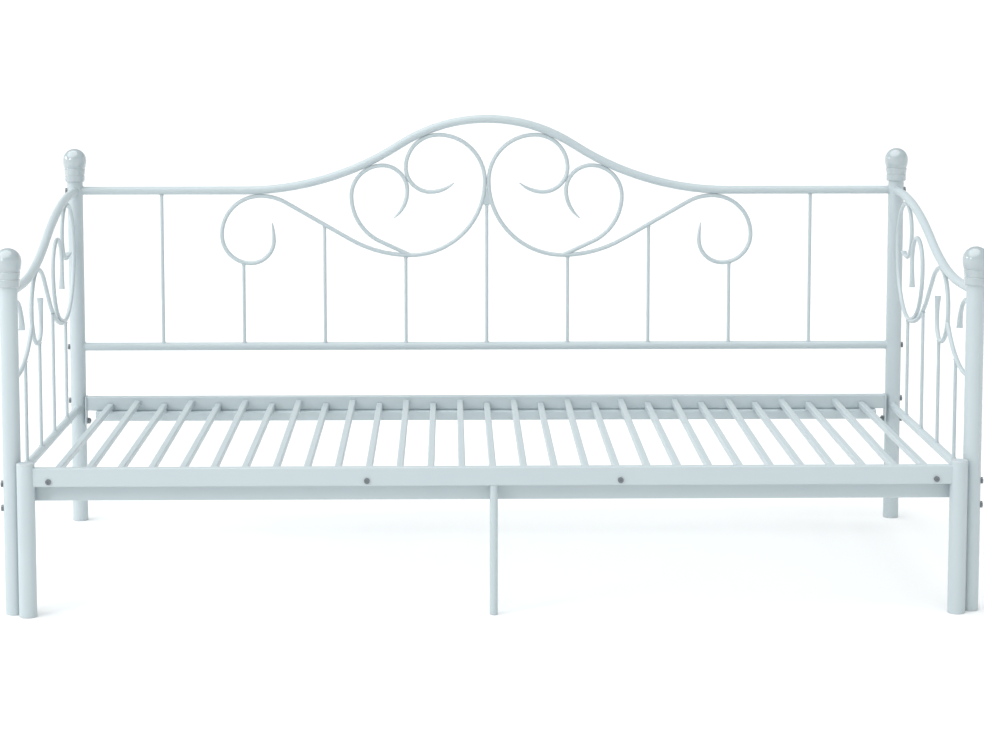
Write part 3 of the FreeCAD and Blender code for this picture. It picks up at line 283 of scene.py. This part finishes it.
def forge(bm, start, heading, moves):
    """A round bar along straight runs and bends in the XZ plane; its far end is a wedge."""
    point = Vector((start[0], 0, start[1]))
    facing = along(heading).to_track_quat("Z", "Y").to_matrix().to_4x4()
    facing.translation = point
    ring = bmesh.ops.create_circle(bm, segments=BAR_SIDES, radius=BAR_R, matrix=facing)["verts"]
    edges = list({edge for vert in ring for edge in vert.link_edges})
    bmesh.ops.contextual_create(bm, geom=edges)
    for number, (length, turn) in enumerate(moves):
        last = number == len(moves) - 1
        direction = along(heading)
        before = set(bm.verts)
        if turn == 0:
            grown = bmesh.ops.extrude_edge_only(bm, edges=edges)["geom"]
            ring = [item for item in grown if isinstance(item, bmesh.types.BMVert)]
            edges = [item for item in grown if isinstance(item, bmesh.types.BMEdge)
                     and all(vert in ring for vert in item.verts)]
            bmesh.ops.translate(bm, verts=ring, vec=direction * length)
            point = point + direction * length
            continue
        side = Vector((-direction.z, 0, direction.x)) * (1 if turn > 0 else -1)
        centre = point + side * length
        swung = bmesh.ops.spin(bm, geom=edges, cent=centre, axis=(0, -1, 0),
                               angle=math.radians(turn),
                               steps=max(6, round(abs(turn) / BAR_STEP)))["geom_last"]
        edges = [item for item in swung if isinstance(item, bmesh.types.BMEdge)]
        point = centre + Matrix.Rotation(math.radians(-turn), 3, "Y") @ (point - centre)
        heading += turn
        if last:
            hammer_tip([vert for vert in bm.verts if vert not in before], centre, length, point)
    bmesh.ops.contextual_create(bm, geom=edges)


# bend schedules in the plane of a panel, whose origin is at the floor: where a bar starts,
# and its runs (length, 0) and bends (radius, turn) from there
BACK_SIDE = (0.00475, 0.85178)
BACK_CURL = ((0.115, -90), (0.081, -90), (0.061, -90), (0.087, -42))
BACK_SWEEP = ((0.185, 90), (0.300, 29.972), (0.18404, 0), (0.124, -29.972), (0.097, -90),
              (0.071, -90), (0.058, -90), (0.220, -11))
BACK_HOOK_START = (0.18975, 0.66678)
BACK_HOOK = ((0.08105, 0), (0.125, 65.24), (0.0765, 90), (0.06225, 90), (0.087, 52))
ARM_SIDE = (0.036, 0.69671)
ARM_CURL = ((0.110, -90), (0.070, -90), (0.059, -90), (0.100, -25))
ARM_SWEEP = ((0.168, 90), (0.330, 40.73), (0.08346, 0), (0.134, -40.73), (0.085, -90),
             (0.080, -90), (0.042, -90), (0.250, -13))
ARM_HOOK_START = (0.204, 0.52871)
ARM_HOOK = ((0.05463, 0), (0.130, 76.182), (0.068, 90), (0.062, 90), (0.300, 12))
END_START = (0.65018, 0.58319)
END_SCROLL = ((0.280, 45.973), (0.055, 90), (0.047, 0), (0.058, 90), (0.070, 90))
# a bar's name, its runs in the back panel and its runs in an arm panel
BARS = (
    ("long_scroll", ((BACK_SIDE, 90, BACK_CURL), (BACK_SIDE, -90, BACK_SWEEP)),
     ((ARM_SIDE, 90, ARM_CURL), (ARM_SIDE, -90, ARM_SWEEP))),
    ("hook", ((BACK_HOOK_START, 24.76, BACK_HOOK),), ((ARM_HOOK_START, 13.818, ARM_HOOK),)),
    ("end_scroll", (), ((END_START, -45.973, END_SCROLL),)),
)


def panel_places(panel):
    """Side names and the matrices that carry a drawing into each half panel."""
    if panel == "back":
        return (("left", Matrix.Translation((0, rear_y, 0)) @ Matrix.Rotation(math.pi, 4, "Z")),
                ("right", Matrix.Translation((0, rear_y, 0))))
    turn = Matrix.Rotation(-math.pi / 2, 4, "Z")
    return (("left", Matrix.Translation((-post_x, rear_y, 0)) @ turn),
            ("right", Matrix.Translation((post_x, rear_y, 0)) @ turn))


for bar_name, back_runs, arm_runs in BARS:
    for panel, runs in (("back", back_runs), ("arm", arm_runs)):
        for side, matrix in panel_places(panel):
            if runs:
                bm = bmesh.new()
                for start, heading, moves in runs:
                    forge(bm, start, heading, moves)
                bmesh.ops.transform(bm, matrix=matrix, verts=bm.verts)
                cad_node = f"{panel}_{bar_name}_{side}"
                finish_piece(bm, f"forged_{cad_node}", "white_powder_coat", "bed_frame",
                             (cad_node,))


# ---------------------------------------------------------------- weld beads
def add_bead(bm, place, axis, ring_r, bead_r, saddle_r=0.0):
    """A ring of weld metal round a joint.  A saddle follows a round post of that radius."""
    one = bmesh.new()
    section = Matrix.Translation((ring_r, 0, 0)) @ Matrix.Rotation(math.pi / 2, 4, "X")
    circle = bmesh.ops.create_circle(one, segments=BEAD_SIDES, radius=bead_r,
                                      matrix=section)["verts"]
    edges = list({edge for vert in circle for edge in vert.link_edges})
    bmesh.ops.spin(one, geom=edges, cent=(0, 0, 0), axis=(0, 0, 1), angle=math.tau,
                   steps=BEAD_STEPS, use_merge=True)
    turn = Vector(axis).to_track_quat("Z", "Y").to_matrix().to_4x4()
    bmesh.ops.transform(one, matrix=turn, verts=one.verts)
    if saddle_r:
        for vert in one.verts:
            across = vert.co.y if abs(axis[0]) > 0.5 else vert.co.x
            vert.co -= Vector(axis) * (saddle_r - math.sqrt(saddle_r ** 2 - across ** 2))
    bmesh.ops.translate(one, verts=one.verts, vec=place)
    add_mesh(bm, one)


# radii of the beads, how far their rings stand out from the bar, and how far a rod's top
# bead sits below its end
FOOT_BEAD_R = 0.0016
HEAD_BEAD_R = 0.0014
RAIL_BEAD_R = 0.0018
FOOT_OUT = 0.0004
SEAM_OUT = 0.0002
HEAD_SINK = 0.0015
# heights of the rails' axes at the posts, and of the low rails' tops
BACK_RAIL_ENDS = (0.829, 0.439)
ARM_TOP_RAIL_REAR, ARM_TOP_RAIL_FRONT, ARM_LOW_RAIL = 0.827, 0.687, 0.284
BACK_LOW_TOP = 0.449
ARM_LOW_TOP = 0.294
# each rod's distance from the middle of the back, or from the rear post, and its top
BACK_MIDDLE_ROD = (0.0, 0.7933)
BACK_RODS = ((0.2015, 0.6630), (0.403, 0.7395), (0.6045, 0.6456), (0.806, 0.8195))
ARM_RODS = ((0.186, 0.5257), (0.372, 0.5707), (0.558, 0.5301), (0.744, 0.5152))


def weld_rod(bm, x, y, low, top):
    """The beads at the foot and the head of an upright rod."""
    add_bead(bm, (x, y, low), (0, 0, 1), ROD_R + FOOT_OUT, FOOT_BEAD_R)
    add_bead(bm, (x, y, top - HEAD_SINK), (0, 0, 1), ROD_R + SEAM_OUT, HEAD_BEAD_R)


def weld_rail_end(bm, place, axis):
    """The bead where a rail's coped end meets a post."""
    add_bead(bm, place, axis, RAIL_R + SEAM_OUT, RAIL_BEAD_R, POST_R)


welds = bmesh.new()
for from_middle, top in BACK_RODS:
    for sign in (-1, 1):
        weld_rod(welds, sign * from_middle, rear_y, BACK_LOW_TOP, top)
weld_rod(welds, BACK_MIDDLE_ROD[0], rear_y, BACK_LOW_TOP, BACK_MIDDLE_ROD[1])
for sign in (-1, 1):
    for z in BACK_RAIL_ENDS:
        weld_rail_end(welds, (sign * (post_x - POST_R), rear_y, z), (-sign, 0, 0))
finish_piece(welds, "back_weld_beads", "white_powder_coat", "bed_frame")

for side, sign in (("left", -1), ("right", 1)):
    welds = bmesh.new()
    x = sign * post_x
    for from_rear, top in ARM_RODS:
        weld_rod(welds, x, rear_y - from_rear, ARM_LOW_TOP, top)
    for y, inwards, top_rail in ((rear_y, -1, ARM_TOP_RAIL_REAR), (front_y, 1, ARM_TOP_RAIL_FRONT)):
        for z in (top_rail, ARM_LOW_RAIL):
            weld_rail_end(welds, (x, y + inwards * POST_R, z), (0, inwards, 0))
    finish_piece(welds, f"arm_weld_beads_{side}", "white_powder_coat", "bed_frame")


# ---------------------------------------------------------------- finials and caps
# outlines from the middle of the underside, outwards, up and back in to the top
GROOVE = ((None, 53.13), (0.002, -106.26), (None, 53.13))
FINIAL = ((0.0205, 0), (0.004, 90), (0.0114, 0), *GROOVE, (None, -6.68), (0.01289, 0),
          (None, 6.68), *GROOVE, (None, -18.52), (0.05793, 18.52), (0.029, 90))
FOOT = ((0.0178, 0), (0.0012, 90), (0.0022, 0), (0.0006, 90), (0.0184, 0))
CENTRE_FOOT = ((0.0073, 0), (0.0012, 90), (0.0022, 0), (0.0006, 90), (0.0079, 0))
LEG_CAP = ((0.0190, 0), (None, 90), (0.0016, 0), (0.0024, 90), (0.0166, 0))


def turned_foot(node, body, outline):
    """A foot cap that stands on the floor."""
    at = middle(node)
    turned_piece(f"moulded_{node}", "plastic_cap", body, (at.x, at.y, 0), outline, node)


for post in ("rear", "front"):
    for side in ("left", "right"):
        turned_piece(f"moulded_{post}_finial_{side}", "glossy_cap", "bed_frame",
                     top_centre(f"{post}_post_{side}"), FINIAL, f"{post}_finial_{side}")
for row, body in (("rear", "bed_frame"), ("front", "bed_frame"), ("pullout", "pullout_frame")):
    for side in ("left", "right"):
        turned_foot(f"{row}_foot_{side}", body, FOOT)
turned_foot("pullout_centre_foot", "pullout_frame", CENTRE_FOOT)
for side in ("left", "right"):
    turned_piece(f"moulded_leg_cap_{side}", "plastic_cap", "pullout_frame",
                 top_centre(f"pullout_leg_{side}"), LEG_CAP, f"pullout_leg_cap_{side}")


# ---------------------------------------------------------------- floor, light and camera
# so far out that its edge and the horizon meet
FLOOR_HALF = 6000

floor_mesh = bpy.data.meshes.new("studio_floor")
bm = bmesh.new()
bmesh.ops.create_grid(bm, x_segments=1, y_segments=1, size=FLOOR_HALF)
bm.to_mesh(floor_mesh)
bm.free()
floor = bpy.data.objects.new("studio_floor", floor_mesh)
bpy.context.scene.collection.objects.link(floor)
floor_paint = new_material("pale_studio_floor", Base_Color=linear("#ececec"), Roughness=0.8,
                           Emission_Color=linear("#ffffff"), Emission_Strength=0.12)[0]
floor_mesh.materials.append(floor_paint)

# the walls of the studio are white, and its ceiling is dimmer and a little blue; where the
# walls end and the ceiling begins is a height on the unit sphere of directions
WALL_TOP, CEILING = 0.15, 0.45
WALL_LIGHT, CEILING_LIGHT = 1.02, 0.42
world = bpy.data.worlds.new("soft_studio")
bpy.context.scene.world = world
world.use_nodes = True
air = world.node_tree
ways = add_node(air, "ShaderNodeTexCoord")
height = add_node(air, "ShaderNodeSeparateXYZ", links={"Vector": ways.outputs["Generated"]})
fade = add_node(air, "ShaderNodeMapRange",
                {"interpolation_type": "SMOOTHSTEP", "From Min": WALL_TOP, "From Max": CEILING,
                 "To Min": WALL_LIGHT, "To Max": CEILING_LIGHT},
                {"Value": height.outputs["Z"]})
rise = add_node(air, "ShaderNodeMapRange", {"From Min": WALL_TOP, "From Max": CEILING},
                {"Value": height.outputs["Z"]})
tint = add_node(air, "ShaderNodeMix",
                {"data_type": "RGBA", 6: linear("#ffffff"), 7: linear("#eaf3f6")},
                {0: rise.outputs["Result"]})
background = air.nodes["Background"]
air.links.new(tint.outputs[2], background.inputs["Color"])
air.links.new(fade.outputs["Result"], background.inputs["Strength"])


def add_light(name, kind, place, target, **settings):
    """A lamp at a place, aimed at a target."""
    light = bpy.data.lights.new(name, kind)
    for setting, value in settings.items():
        setattr(light, setting, value)
    lamp = bpy.data.objects.new(name, light)
    bpy.context.scene.collection.objects.link(lamp)
    lamp.location = place
    lamp.rotation_euler = (Vector(target) - Vector(place)).to_track_quat("-Z", "Y").to_euler()


BED_MIDDLE = (0, 0, 0.6)
add_light("broad_overhead", "SUN", (-0.9, -0.6, 3.0), (0, 0, 0), energy=2.7,
          angle=math.radians(80))
add_light("front_left_softbox", "AREA", (-4.2, -3.6, 2.4), BED_MIDDLE, energy=50,
          shape="RECTANGLE", size=0.7, size_y=1.0)
add_light("left_softbox", "AREA", (-5.4, 0.4, 2.3), BED_MIDDLE, energy=42,
          shape="RECTANGLE", size=0.6, size_y=1.0)

EYE = (-0.0934, -5.5307, 1.3085)
LOOK_DOWN, LOOK_RIGHT = 5.78, 1.016
camera = bpy.data.objects.new("camera", bpy.data.cameras.new("camera"))
bpy.context.scene.collection.objects.link(camera)
camera.location = EYE
camera.rotation_euler = (math.radians(90 - LOOK_DOWN), 0, math.radians(-LOOK_RIGHT))
camera.data.sensor_width = 36
camera.data.lens = 88.66
# a lowered frame, so that the camera looks down less and uprights lean less
camera.data.shift_y = -128 / 984
camera.data.clip_end = 10000
bpy.context.scene.camera = camera
bpy.context.scene.view_settings.view_transform = "Standard"
